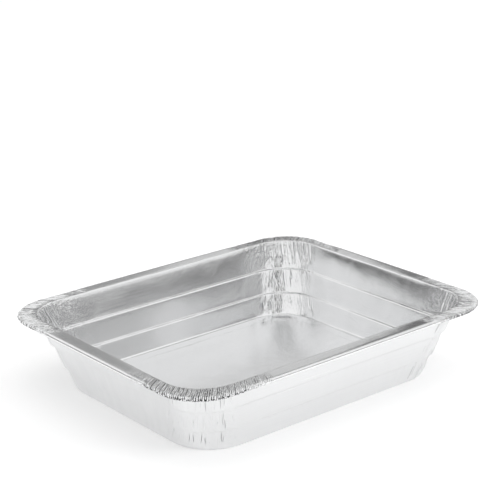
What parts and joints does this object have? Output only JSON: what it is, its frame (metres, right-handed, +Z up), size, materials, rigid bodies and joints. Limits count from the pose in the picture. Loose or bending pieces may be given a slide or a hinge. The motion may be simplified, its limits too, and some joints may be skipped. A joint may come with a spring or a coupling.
{
  "type": "foil roasting pan",
  "caption": "Open rectangular roasting pan pressed from aluminium foil, with stepped sloping walls, pleated corners and a flat flange ending in a rolled bead.",
  "frame": {"origin": "middle of the base, on the surface that the pan stands on", "axes": "+X along the long side, +Y along the short side, +Z up towards the open mouth"},
  "size_m": [0.3176, 0.2668, 0.0635],
  "materials": {
    "foil": "bright rolled aluminium foil, satin on the walls and floor, finely crinkled at the corners and along the rim"
  },
  "bodies": {
    "root": {"foil_pan": "foil"}
  },
  "joints": []
}
